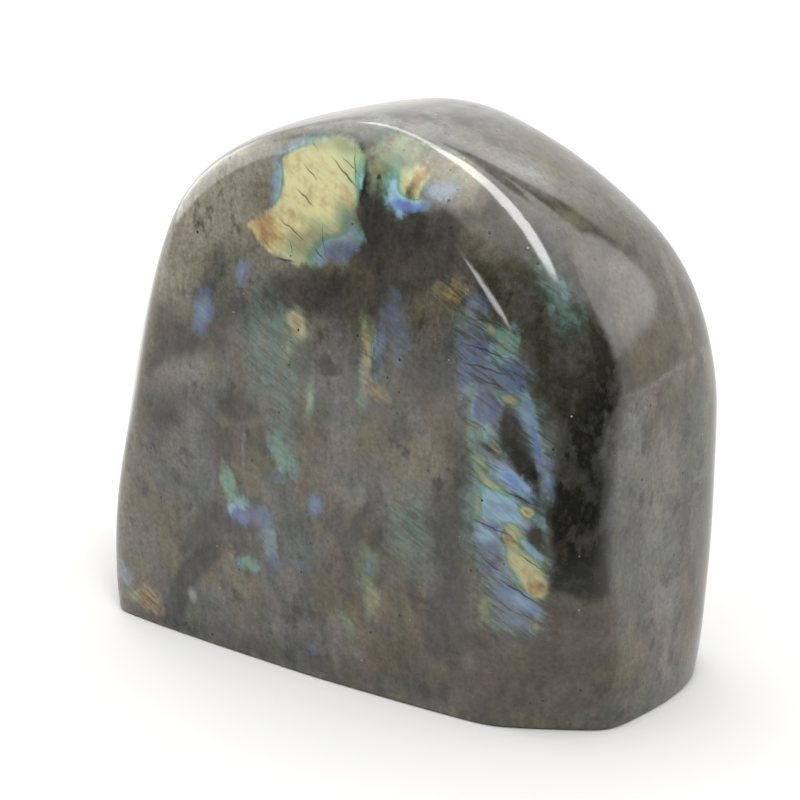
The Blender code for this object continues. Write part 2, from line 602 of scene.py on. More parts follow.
FRONT_TONES = (
    # The pale upper left, and the left rim, whose paleness is partly the stone's own and partly a painted
    # reflection
    Tone(Oval(-22, 92, 15, 10, 20), BEIGE, 0.95, 3),
    Tone(Oval(-32, 82, 7, 15, -15), BEIGE, 0.9, 3),
    Tone(Oval(-13, 79, 7, 7), BEIGE, 0.45, 3),
    Tone(Oval(-57, 26, 9, 40, -6), BEIGE, 1, 3.5),
    Tone(Oval(-50, 62, 5.5, 20, -18), BEIGE, 0.9, 3),
    # Painted reflection: a pale sheen along the left rim
    Tone(Oval(-59.5, 26, 5, 36, -5), PAINTED_RIM_REFLECTION, 0.95, 2.5),
    Tone(Oval(-47, 22, 6, 24), OLIVE, 0.8, 3),
    Tone(Oval(-30.5, 56.6, 9, 2.6, 22), BEIGE, 0.4, 1.5),
    Tone(Oval(-31, 40, 6, 5), GREENISH, 0.5, 2),
    Tone(Oval(-38, 22, 6, 8), OLIVE, 0.4, 2),
    Tone(Oval(5, 51, 4, 3), BEIGE, 0.3),
    Tone(Oval(21, 49, 6, 5), BEIGE, 0.3),
    Tone(Oval(-10, 62, 6, 12), GREENISH, 0.5, 3),
    Tone(Oval(16, 64, 5, 9), GREENISH, 0.35, 3),
    Tone(Oval(-12.5, 92, 4.5, 3, 35), OLIVE, 0.7),
    # The dark stone under and beside the gold flash, reaching down to the left
    Tone(Oval(17, 88, 10, 9.5), DARK, 0.9, 1.5),
    Tone(Oval(12, 87.5, 4, 8.5, 10), SLATE, 0.6, 1.5),
    Tone(Oval(2, 76.5, 15, 3.8, 8), DARK, 0.85, 1.5),
    Tone(Oval(-14, 71.5, 9, 2.4, 20), DARK, 0.7),
    Tone(Oval(-28, 64, 9, 3, 28), DARK, 0.75),
    Tone(Oval(-35, 64, 3, 5), DARK, 0.6),
    Tone(Oval(22, 65, 4, 5), DARK, 0.5),
    Tone(Oval(8.5, 95.5, 1.1, 4.5, 5), BLACK, 0.9, 0.6),
    Tone(Oval(11.2, 96.5, 0.8, 2.5), BLACK, 0.8, 0.6),
    # Dark places lower down
    Tone(Oval(-18, 51.5, 5, 2.2, 5), SLATE, 0.85, 1),
    Tone(Oval(-37, 47, 5, 3, 20), DARK, 0.7, 1.5),
    Tone(Oval(-33, 34.5, 2.4, 1.3, -20), SLATE, 0.6, 0.8),
    Tone(Outline(SLATE_OUTLINE), SLATE, 0.9, 0.7),
    Tone(Oval(-37.6, 57, 1.2, 4.6, -30), SLATE, 0.6, 0.7),
    Tone(Oval(-42.6, 56, 0.5, 14, 2), SLATE, 0.3, 0.5),
    Tone(Oval(-41, 81, 0.5, 9, -26), SLATE, 0.3, 0.5),
    Tone(Oval(-16.6, 44.4, 0.3, 4.6), MILKY, 0.6, 0.3),
    Tone(Oval(13, 44, 13, 6, 10), BEIGE, 0.16, 3),
    Tone(Oval(-5, 3, 32, 3, 2), SLATE, 0.5, 2),
    Tone(Oval(30, 11, 12, 9), SLATE, 0.3, 3),
    Tone(Oval(-28, 23, 5, 4, 30), SLATE, 0.6, 1.5),
    Tone(Oval(-24, 29, 5, 3), SLATE, 0.65, 1.5),
    Tone(Oval(-19, 26.5, 5, 1.5, 20), SLATE, 0.75, 1),
    Tone(Oval(9, 35.5, 1.8, 5.5, -32), DARK, 0.8, 1),
    Tone(Oval(3.5, 36.5, 1.2, 3), DARK, 0.6, 1),
    Tone(Oval(27, 32, 3.4, 16), DARK, 0.7, 2),
    Tone(Oval(24, 17, 3, 5), SLATE, 0.5, 1.5),
    Tone(Oval(-4, 6, 2.5, 4), SLATE, 0.5, 1.5),
    Tone(Oval(14, 10, 6, 4), BROWN, 0.5, 2),
    Tone(Oval(-1, 20, 4, 4), BROWN, 0.4, 2),
    Tone(Oval(-43, 5.5, 4.5, 4), RUSTY, 0.6, 2),
    # The right bevel, nearly black along its middle and brown at its foot
    Tone(Oval(38, 86, 18, 8, -48), BLACK_OLIVE, 0.9, 2.5),
    Tone(Oval(32, 88.5, 8, 2.6, -40), OLIVE, 0.5, 2),
    Tone(Oval(24.5, 98, 5, 3.6, -35), ROSY, 0.8, 2),
    Tone(Oval(22, 95.5, 3, 2.2), MILKY, 0.6, 1.5),
    Tone(Oval(28, 78.5, 2.6, 2), OLIVE, 0.7),
    Tone(Oval(38, 79, 6, 8, 40), BLACK_OLIVE, 0.8, 2),
    Tone(Outline(((44, 70), (46.4, 52), (46, 30), (56, 27), (58, 72), (48, 80))),
         BLACK, 0.97, 1.2),
    Tone(Oval(46, 70, 5, 9, 12), BLACK_OLIVE, 0.95, 2),
    Tone(Oval(50, 20, 9, 8, 20), BROWN, 0.75, 2.5),
    Tone(Oval(44, 10, 12, 6), BROWN, 0.55, 2.5),
    Tone(Oval(38.8, 57.4, 2.2, 5, 8), BLACK_OLIVE, 0.9, 0.8),
    Tone(Oval(41.8, 52, 2.2, 6, 18), BLACK, 0.9, 0.8),
    Tone(Oval(43.6, 40, 1.6, 2.6), BLACK_OLIVE, 0.85, 0.6),
    Tone(Oval(40, 67, 6, 5), BLACK_OLIVE, 0.6, 1.5),
    Tone(Oval(-21, 22, 1.8, 1.3), ROSY, 0.8, 0.6),
    Tone(Oval(-31.4, 9.3, 0.7, 1.6, -15), MILKY, 0.9, 0.5),
)

TOP_TONES = (
    # Seen from above with the back upwards: dull on the right, with a dark olive vein beside the crest that
    # goes on along the corner towards the back
    Tone(Oval(32, -4, 17, 15), DEEP_OLIVE, 0.6, 3),
    Tone(Oval(-15, -8, 20, 8), OLIVE, 0.3, 3),
    Tone(Oval(25, -16.4, 8, 0.9, 3), BLACK_OLIVE, 0.85, 0.7),
    Tone(Oval(34.5, -14.6, 4.6, 1.2, 18), BLACK_OLIVE, 0.9, 0.8),
    Tone(Oval(39, -10.4, 4, 1.2, 52), BLACK_OLIVE, 0.9, 0.8),
    Tone(Oval(43.6, -3.2, 6, 0.9, 64), BLACK_OLIVE, 0.8, 0.7),
    Tone(Oval(46.8, 6.4, 6, 0.6, 78), BLACK_OLIVE, 0.6, 0.6),
    Tone(Oval(32, -9.4, 4, 1.4, 40), MILKY, 0.35, 1.5),
)

RIGHT_TONES = (
    # Seen from the right, with the back on the right: a dull olive upper face over a greyer side
    Tone(Outline(((-18, 62), (-11, 63.5), (-4, 64.7), (4, 65.8), (26, 68), (26, 96),
                  (-18, 96))), DEEP_OLIVE, 0.75, 1.2),
    Tone(Oval(-15.5, 76, 3, 10), BLACK_OLIVE, 0.7, 1.5),
    Tone(Oval(-7, 88.5, 4, 3), BLACK_OLIVE, 0.6, 1.5),
    Tone(Oval(-5, 70, 7, 3.2, 12), BROWN, 0.6, 2),
    Tone(Oval(6, 76, 1.2, 8, -8), BEIGE, 0.3, 1),
    Tone(Oval(11, 80, 3, 8), DEEP_OLIVE, 0.3, 2),
    Tone(Oval(-6, 64.6, 11, 0.5, 6), MILKY, 0.35, 0.4),
    Tone(Oval(-10.5, 55, 1.6, 2.4), SLATE, 0.6, 0.8),
    Tone(Oval(-13, 57, 2.2, 5), MILKY, 0.25, 1.2),
    Tone(Oval(2, 40, 2.4, 20, 4), BROWN, 0.35, 1.5),
    Tone(Oval(-5, 42, 5, 14), BEIGE, 0.2, 3),
    Tone(Oval(10, 44, 3, 18), DEEP_OLIVE, 0.25, 2),
    Tone(Oval(-14, 30, 3, 10), BROWN, 0.3, 2),
)

GOLD_OUTLINE = (
    (-15.6, 85.6), (-13.6, 83.2), (-10, 81.2), (-3, 81), (5, 82.2), (8.6, 87), (6.4, 92),
    (7.6, 95), (8.4, 101), (5, 103.6), (-1, 103.2), (-8.8, 98.6), (-9.2, 92), (-11, 89),
)
TALL_OUTLINE = (
    (28.6, 78), (32.6, 79.4), (37.8, 74), (42, 66.5), (44, 60), (45.6, 52), (45.6, 27),
    (44.2, 21), (38, 19), (33.6, 21), (33, 31), (30.6, 37), (30.4, 47), (31, 52),
    (30.4, 60), (28.2, 66), (28, 74),
)

FRONT_FLASHES = (
    # The broad gold flash under the top, with its blue edges
    Flash(Oval(-5.8, 98.6, 6.6, 2.2, 42), SKY, SKY, 0.75, 1, 0.2),
    Flash(Oval(-9.8, 93.5, 1.3, 5, 5), CYAN, SKY, 0.5, 0.8, 0.2),
    Flash(Outline(GOLD_OUTLINE), YELLOW, YELLOW, 0.95, 0.8, 0.12),
    Flash(Oval(-3.5, 85, 7, 3.6, 5), YELLOW, LIME, 0.45, 2.4, 0.2, True),
    Flash(Oval(-11.4, 85.2, 4, 3.6), ORANGE, GOLD, 0.75, 1.4, 0.2, True),
    Flash(Oval(-6, 88.6, 3.4, 2.6, 30), GOLD, YELLOW, 0.8, 1.6, 0.1, True),
    Flash(Oval(4.6, 93.4, 2.4, 2.4, -20), GOLD, YELLOW, 0.85, 1.2, 0.2, True),
    Flash(Oval(6.4, 100, 3.2, 4), LIME, LIME, 0.95, 2, 0.1, True),
    Flash(Oval(3, 102.8, 6, 1.4), YELLOW, LIME, 0.4, 1.4, 0.1, True),
    Flash(Oval(8, 96.6, 1.5, 4.4), CYAN, TEAL, 0.85, 1, 0.2, True),
    Flash(Oval(6, 88, 3, 4.6, 10), CYAN, GREEN, 0.4, 1.8, 0.2, True),
    Flash(Oval(4.6, 83.6, 6, 2.8, 12), BLUE, BLUE, 0.26, 1.8, 0.1, True),
    # The green, gold and violet flash beside it
    Flash(Oval(14.2, 100, 5, 4.6), GREEN, LIME, 0.36, 2.4, 0.2),
    Flash(Oval(24, 99.5, 4, 2.4, -35), GREEN, LIME, 0.14, 2, 0.2),
    Flash(Oval(14.6, 95.6, 2.1, 3.6, 28), SKY, CYAN, 0.95, 0.9, 0.1),
    Flash(Oval(17, 94, 3.2, 1.4, 5), VIOLET, BLUE, 0.95, 0.8, 0.1),
    Flash(Oval(16.2, 97.4, 2.2, 2.2, 10), YELLOW, LIME, 0.7, 1, 0.1, True),
    Flash(Oval(18.9, 98, 1.5, 2.8, -10), ORANGE, GOLD, 0.65, 0.9, 0.2),
    Flash(Oval(22.3, 96.8, 2.4, 1.8), SKY, SKY, 0.3, 1.2, 0.1),
    # Small ones to the left of it
    Flash(Oval(-26.2, 68.7, 1.9, 4, -15), SKY, BLUE, 0.4, 0.9),
    Flash(Oval(-16.8, 77.4, 0.9, 2.2), SKY, BLUE, 0.42, 0.7),
    # Upright ones in the middle
    Flash(Oval(-12, 65, 4, 9), GREEN, TEAL, 0.14, 2.5, 0.6),
    Flash(Oval(-5, 69.8, 3, 3, 25), GOLD, LIME, 0.42, 1.2, 0.5),
    Flash(Oval(-7.2, 65, 1.6, 5), GOLD, GREEN, 0.36, 1, 0.6),
    Flash(Oval(-9.2, 68.6, 2, 4.6), TEAL, TEAL, 0.2, 1.4, 0.6),
    Flash(Oval(-5.4, 59.6, 1, 3.4, 12), CYAN, TEAL, 0.22, 0.9),
    Flash(Oval(10, 67, 1.6, 6.2, 3), GOLD, LIME, 0.34, 1, 0.5),
    Flash(Oval(12.6, 69, 1.2, 5.4, -3), SKY, BLUE, 0.32, 0.9, 0.4),
    Flash(Oval(16.2, 72.4, 1.8, 5, 5), BLUE, BLUE, 0.28, 1.3, 0.4),
    Flash(Oval(12.2, 60.6, 2.4, 1.6, -35), GOLD, ORANGE, 0.36, 1, 0.4),
    Flash(Oval(9.6, 58.4, 1.6, 2.2), LIME, GREEN, 0.26, 0.9),
    Flash(Oval(-8, 54, 2.8, 9), GREEN, TEAL, 0.18, 2.2, 0.6),
    Flash(Oval(-8.2, 45, 2.3, 4.6, 8), GREEN, TEAL, 0.44, 1.2, 0.3),
    Flash(Oval(-5.9, 43.6, 1.1, 3.4), SKY, TEAL, 0.3, 0.9),
    Flash(Oval(-9.4, 39.8, 1.3, 1.2), BLUE, VIOLET, 0.26, 0.8),
    Flash(Oval(-1.6, 56.4, 1, 3.2, -8), YELLOW, GREEN, 0.4, 0.8),
    # Low ones on the left and in the middle
    Flash(Oval(-20.4, 35.8, 1.7, 4.4, 12), TEAL, GREEN, 0.5, 0.9, 0.2),
    Flash(Oval(-18.9, 32.2, 2.2, 2.8, -25), CYAN, TEAL, 0.5, 0.9, 0.2),
    Flash(Oval(-17.6, 29.8, 2.5, 1.6, -20), BLUE, VIOLET, 0.55, 0.8, 0.2),
    Flash(Oval(-13, 31.2, 2.4, 2.2, 10), BLUE, VIOLET, 0.36, 1, 0.2),
    Flash(Oval(-11.5, 25.8, 1.8, 4, -5), SKY, CYAN, 0.3, 1.1, 0.3),
    Flash(Oval(-11.2, 21.8, 1.4, 1.8), BLUE, VIOLET, 0.24, 0.9),
    Flash(Oval(-16.8, 20.4, 2.7, 1.5), GREEN, TEAL, 0.42, 0.9, 0.2),
    Flash(Oval(-1, 36.6, 1.4, 2.3, -10), SKY, BLUE, 0.42, 0.8, 0.2),
    Flash(Oval(-3.8, 23.2, 1.4, 1, 20), BLUE, VIOLET, 0.22, 0.8),
    Flash(Oval(-2.2, 6.4, 0.9, 1.5, -10), BLUE, VIOLET, 0.25, 0.7),
    Flash(Oval(10.6, 25.8, 2.3, 4.4, -12), CYAN, GREEN, 0.24, 1.2, 0.4),
    Flash(Oval(11, 20, 1.8, 4.4), GOLD, LIME, 0.22, 1.1, 0.4),
    Flash(Oval(5.2, 13.8, 1.6, 3, 20), LIME, GREEN, 0.18, 1, 0.4),
    Flash(Oval(19, 35, 4.2, 7, -8), TEAL, GREEN, 0.15, 2.4, 0.6),
    Flash(Oval(26.2, 80, 2.6, 1.7, 10), GOLD, ORANGE, 0.36, 1.2, 0.9),
    Flash(Oval(43, 81.6, 5.4, 1.7, -56), TEAL, TEAL, 0.26, 1.3, 0.6),
    # The bottom left corner
    Flash(Oval(-49.8, 8.4, 1.6, 4.2, 25), CYAN, SKY, 0.35, 1.2, 0.4),
    Flash(Oval(-48.2, 4.6, 2.4, 2), GREEN, LIME, 0.25, 1.2, 0.4),
    Flash(Oval(-43.4, 5, 3.6, 2.6), ORANGE, GOLD, 0.35, 1.6, 0.8),
    # The tall blue flash on the right
    Flash(Outline(TALL_OUTLINE), SKY, TEAL, 0.17, 1.5, 0.9),
    Flash(Oval(31.2, 79, 2.2, 1.4), SKY, BLUE, 0.28, 0.9, 0.5),
    Flash(Oval(30.4, 69, 3, 5.6), BLUE, VIOLET, 0.34, 1.4, 0.9, True),
    Flash(Oval(36.2, 72.4, 2.1, 3.6, -20), GREEN, TEAL, 0.5, 1.2, 0.7),
    Flash(Oval(34.2, 74.8, 1, 1.2), GOLD, LIME, 0.35, 0.7, 0.3, True),
    Flash(Oval(38.4, 67.6, 3.2, 3, -10), BLUE, BLUE, 0.36, 1.2, 0.8, True),
    Flash(Oval(31, 60.6, 1.1, 3.6, -5), LIME, GREEN, 0.3, 0.8, 0.6),
    Flash(Oval(33.6, 60.4, 2.4, 3.2), BLUE, VIOLET, 0.42, 1, 0.6, True),
    Flash(Oval(38, 63.4, 2.6, 1.3), GOLD, LIME, 0.34, 0.8, 0.4, True),
    Flash(Oval(41.4, 62.6, 1.3, 2.8, 10), SKY, CYAN, 0.5, 0.8, 0.3),
    Flash(Oval(34.4, 56.4, 2.2, 1.5, -15), CYAN, CYAN, 0.45, 0.8, 0.8, True),
    Flash(Oval(31.2, 56.2, 1.6, 2.4), CYAN, LIME, 0.38, 0.8, 0.7),
    Flash(Oval(36.4, 54.2, 2.2, 1.5, -20), YELLOW, LIME, 0.26, 0.9, 0.9, True),
    Flash(Oval(32.8, 51.2, 2.4, 1.5, -20), LIME, GREEN, 0.42, 0.9, 0.7),
    Flash(Oval(38.6, 57.6, 2, 4.6, 8), VIOLET, VIOLET, 0, 0.9),
    Flash(Oval(41.8, 52, 1.9, 5.4, 18), VIOLET, VIOLET, 0, 0.8),
    Flash(Oval(43.6, 55.6, 0.7, 6.6, 16), BLUE, BLUE, 0.62, 0.6, 0.3),
    Flash(Oval(45.5, 50.6, 0.8, 2.4, 5), CYAN, BLUE, 0.45, 0.6, 0.3),
    Flash(Oval(36, 47.2, 4.8, 1.1, -28), GOLD, YELLOW, 0.45, 0.8, 0.5, True),
    Flash(Oval(39.2, 49.4, 3.8, 1.7, -28), BLUE, SKY, 0.9, 0.8, 0.3),
    Flash(Oval(36.8, 43.6, 5.2, 3.4, -12), SKY, CYAN, 0.74, 1.2, 0.3, True),
    Flash(Oval(32.5, 43.2, 0.9, 3.2), YELLOW, LIME, 0.34, 0.7, 0.4, True),
    Flash(Oval(30.8, 42, 1.3, 4.2), CYAN, TEAL, 0.22, 1, 0.5),
    Flash(Oval(42.3, 44.3, 1.4, 1.1), ORANGE, GOLD, 0.6, 0.8, 0.2, True),
    Flash(Oval(44.6, 43, 1.1, 1.5), CYAN, CYAN, 0.36, 0.6, 0.2),
    Flash(Oval(34, 37.8, 2.4, 2, -20), CYAN, SKY, 0.6, 0.9, 0.4, True),
    Flash(Oval(36, 39.2, 1.6, 1.1, -20), BLUE, VIOLET, 0.5, 0.6, 0.3, True),
    Flash(Oval(39.3, 39.9, 2.2, 1.5, -10), YELLOW, LIME, 0.5, 0.7, 0.4, True),
    Flash(Oval(38.4, 37.8, 1.9, 1.2, -15), RUSSET, ORANGE, 0.4, 0.8, 0.8, True),
    Flash(Oval(43.4, 40, 1.5, 2.2), VIOLET, VIOLET, 0, 0.6),
    Flash(Oval(42.8, 37, 3.6, 1.1, -40), BLUE, CYAN, 0.6, 0.7, 0.4),
    Flash(Oval(41, 33.6, 5, 3.2, -30), YELLOW, LIME, 0.62, 1.2, 0.2, True),
    Flash(Oval(43.6, 29.8, 2.2, 1.8, -30), GOLD, ORANGE, 0.6, 1, 0.2, True),
    Flash(Oval(37.2, 31.8, 2.6, 2, -30), CYAN, SKY, 0.34, 1.2, 0.5, True),
    Flash(Oval(35, 34.4, 2.4, 2.4), SKY, BLUE, 0.26, 1.4, 0.6, True),
    Flash(Oval(40.2, 27.2, 4.8, 1.8, -24), SKY, BLUE, 0.6, 0.9, 0.3),
    Flash(Oval(40.4, 22.4, 3.8, 1.9, -10), SKY, BLUE, 0.3, 1.2, 0.5),
    Flash(Oval(43.6, 22.6, 0.9, 0.9), YELLOW, LIME, 0.35, 0.6, 0.2),
    Flash(Oval(33.9, 24, 1.1, 2.8), GREEN, LIME, 0.22, 0.9, 0.4),
)

BACK_FLASHES = (
    Flash(Oval(-24, 62, 8, 12, 20), SKY, BLUE, 0.5, 2, 0.7),
    Flash(Oval(-19, 50, 4, 6, 10), CYAN, GREEN, 0.45, 1.4, 0.6),
    Flash(Oval(12, 38, 6, 9, -15), BLUE, VIOLET, 0.5, 1.8, 0.7),
    Flash(Oval(16, 31, 3, 4), GOLD, GREEN, 0.4, 1.2, 0.5),
    Flash(Oval(30, 70, 5, 4, -30), TEAL, BLUE, 0.35, 1.6, 0.5),
    Flash(Oval(-4, 84, 8, 3, 10), GREEN, SKY, 0.3, 1.6, 0.5),
)

FRONT_CRACKS = (
    Crack((0.6, 100.8), (7.8, 94.4), 0.25, 0.75),
    Crack((2.8, 101), (8.4, 96.6), 0.18, 0.6),
    Crack((-4.8, 98.4), (-0.8, 95.2)),
    Crack((-6.2, 94.4), (-1, 90.4)),
    Crack((-10.4, 88.8), (-2, 84.2)),
    Crack((-2, 84.2), (1.2, 81.8)),
    Crack((5.8, 103.6), (6.5, 94.6), 0.2),
    Crack((-3.4, 103), (-1, 100.2), 0.18, 0.5),
    Crack((-6.8, 85.2), (-6, 81.4), 0.16, 0.5),
    Crack((-0.2, 89.2), (1.2, 82), 0.16, 0.5),
    Crack((8.8, 99), (7.9, 93.4), 0.45, 0.95),
    Crack((11, 98.6), (11.2, 97.2), 0.6, 0.9),
    Crack((-13.5, 84.5), (-9.5, 81.6), 0.2, 0.5),
    Crack((-10.5, 81.2), (-4.5, 80.6), 0.3, 0.7),
    Crack((27, 72.3), (40.2, 70.2)),
    Crack((27.5, 68.6), (39.2, 67.6), 0.28),
    Crack((31, 66.6), (37.2, 65.2)),
    Crack((29, 76.4), (36.4, 76.2), 0.18, 0.5),
    Crack((36, 47.4), (44.6, 45.2), 0.3),
    Crack((29.4, 41.4), (41.2, 38.2), 0.2),
    Crack((31.6, 34.6), (38.4, 31.2)),
    Crack((35, 31.2), (45.8, 26.4), 0.3, 0.85),
    Crack((40, 36.4), (45.6, 33.2)),
    Crack((37.2, 25.2), (44.4, 24), 0.18, 0.5),
    Crack((32.4, 55), (37.2, 53.4), 0.16, 0.5),
    Crack((33, 52), (38.6, 50.4), 0.16, 0.5),
    Crack((23.6, 95.4), (24.3, 94.8), 0.5, 0.8),
    Crack((24.8, 91.2), (25.6, 90.8), 0.5, 0.8),
)

FRONT, BACK = (0.0, -1.0, 0.0), (0.0, 1.0, 0.0)
RIGHT, UP = (1.0, 0.0, 0.0), (0.0, 0.0, 1.0)

# What is written on the surface: how far inside a flash a place is, counted in soft edges, its interference
# order, its strength and its share of streaks, and the colour and share of its tone
FLASH_FIELDS = ("flash_edge", "flash_order", "flash_strength", "flash_streaks")
TONE = "tone"


def smooth_step(value: np.ndarray, start: float, end: float) -> np.ndarray:
    """Return a smooth step from 0, at start, to 1, at end."""
    share = np.clip((value - start) / (end - start), 0.0, 1.0)
    return share * share * (3.0 - 2.0 * share)


def lerp(share: np.ndarray, first: np.ndarray, second: np.ndarray) -> np.ndarray:
    """Return the values between two arrays of values."""
    return first + (second - first) * share


def lay_tone(tones: np.ndarray, colour: np.ndarray, cover: np.ndarray) -> None:
    """Lay a colour over tones.

    Args:
        tones: each place's red, green, blue and share of tone, changed in place.
        colour: the colour, or one for each place.
        cover: how much of it each place gets.
    """
    share = cover + tones[:, 3] * (1.0 - cover)
    part = cover / np.maximum(share, MM)
    tones[:, :3] += (colour - tones[:, :3]) * part[:, None]
    tones[:, 3] = share


@dataclass(frozen=True)
class Side:
    """One side of the stone, its directions out, across and up, and the flashes and tones on it.

    A place belongs to the side from where its surface faces outwards by the first share, and wholly by the
    second.
    """

    out: Triple
    across: Triple
    up: Triple
    faces: Pair
    flashes: tuple[Flash, ...] = ()
    tones: tuple[Tone, ...] = ()

    def belongs(self, normals: np.ndarray) -> np.ndarray:
        """Return how much each place belongs to this side, by the way its surface faces."""
        return smooth_step(normals @ np.array(self.out), *self.faces)

    def flat(self, points: np.ndarray) -> np.ndarray:
        """Return where the points lie, seen straight on."""
        return points @ np.array([self.across, self.up]).T


@dataclass(frozen=True)
class Markings:
    """Where the flashes and tones lie, written on the stone's surface as attributes."""

    sides: tuple[Side, ...] = (
        Side(UP, RIGHT, BACK, (0.6, 0.76), (), TOP_TONES),
        Side(RIGHT, BACK, UP, (0.55, 0.8), (), RIGHT_TONES),
        Side(FRONT, RIGHT, UP, (0.2, 0.55), FRONT_FLASHES, FRONT_TONES),
        Side(BACK, RIGHT, UP, (0.4, 0.7), BACK_FLASHES),
    )
    drift_sizes: tuple[float, ...] = (8.0, 3.0)
    drift_lengths: tuple[float, ...] = (1.0, 0.5)
    drift_seed: int = 7
    deepest: float = 4.0
    fringe: Pair = (-2.5, 0.5)

    def drifted(self, points: np.ndarray) -> np.ndarray:
        """Move points about smoothly, so that the patches read there aren't plain ovals.

        The noise is read at an offset that follows the seed, and the clock where no seed is set.

        Args:
            points: places in millimetres.

        Returns:
            The places, moved.
        """
        noise.seed_set(self.drift_seed)
        moved = points.copy()
        for size, length in zip(self.drift_sizes, self.drift_lengths):
            moved += length * np.array([noise.noise_vector(Vector(point) / size) for point in points])
        return moved

    def flash_fields(self, points: np.ndarray, flashes: tuple[Flash, ...]) -> tuple[np.ndarray, ...]:
        """Lay one side's flashes over each other.

        Args:
            points: places in millimetres, moved about.
            flashes: the flashes, the lowest first.

        Returns:
            One array for each of the flash fields.
        """
        edge = np.full(len(points), -self.deepest)
        order = np.full(len(points), TEAL.value)
        strength, streaks = np.zeros(len(points)), np.zeros(len(points))
        for flash in flashes:
            depth = flash.place.inside(points)
            inside = np.clip(depth / flash.softness, -self.deepest, self.deepest)
            if not flash.strength:
                edge = np.minimum(edge, -inside)
                continue
            cover = smooth_step(inside, -1.0, 1.0)
            if not flash.within:
                cover = np.maximum(cover, smooth_step(inside, *self.fringe) * (edge < inside))
                edge = np.maximum(edge, inside)
            own = lerp(smooth_step(depth, 0.0, 2.0 * flash.softness), flash.rim.value, flash.heart.value)
            order = lerp(cover, order, own)
            strength = lerp(cover, strength, flash.strength)
            streaks = lerp(cover, streaks, flash.streaks)
        return edge, order, strength, streaks

    def tone_fields(self, points: np.ndarray, tones: tuple[Tone, ...]) -> np.ndarray:
        """Lay one side's tones over each other.

        Args:
            points: places in millimetres, moved about.
            tones: the tones, the lowest first.

        Returns:
            Each place's red, green, blue and share of tone.
        """
        fields = np.zeros((len(points), 4))
        for tone in tones:
            cover = smooth_step(tone.place.inside(points), -tone.softness, tone.softness) * tone.strength
            lay_tone(fields, np.array(tone.colour), cover)
        return fields

    def write(self, mesh: bpy.types.Mesh) -> None:
        """Write the markings on the mesh.

        Args:
            mesh: the stone's mesh, in metres.
        """
        points, normals = (np.zeros(len(mesh.vertices) * 3) for _ in range(2))
        mesh.vertices.foreach_get("co", points)
        mesh.vertices.foreach_get("normal", normals)
        moved, normals = self.drifted(points.reshape(-1, 3) / MM), normals.reshape(-1, 3)
        edge = np.full(len(moved), -self.deepest)
        order, strength, streaks = (np.zeros(len(moved)) for _ in range(3))
        tone = np.zeros((len(moved), 4))
        for side in self.sides:
            here, flat = side.belongs(normals), side.flat(moved)
            side_edge, side_order, side_strength, side_streaks = self.flash_fields(flat, side.flashes)
            edge = np.maximum(edge, lerp(here, -self.deepest, side_edge))
            order = lerp(here, order, side_order)
            strength = lerp(here, strength, side_strength)
            streaks = lerp(here, streaks, side_streaks)
            side_tone = self.tone_fields(flat, side.tones)
            lay_tone(tone, side_tone[:, :3], side_tone[:, 3] * here)
        for name, values in zip(FLASH_FIELDS, (edge, order, strength, streaks)):
            field = mesh.attributes.new(name, "FLOAT", "POINT")
            field.data.foreach_set("value", values.astype(np.float32))
        colours = mesh.attributes.new(TONE, "FLOAT_COLOR", "POINT")
        colours.data.foreach_set("color", tone.astype(np.float32).ravel())


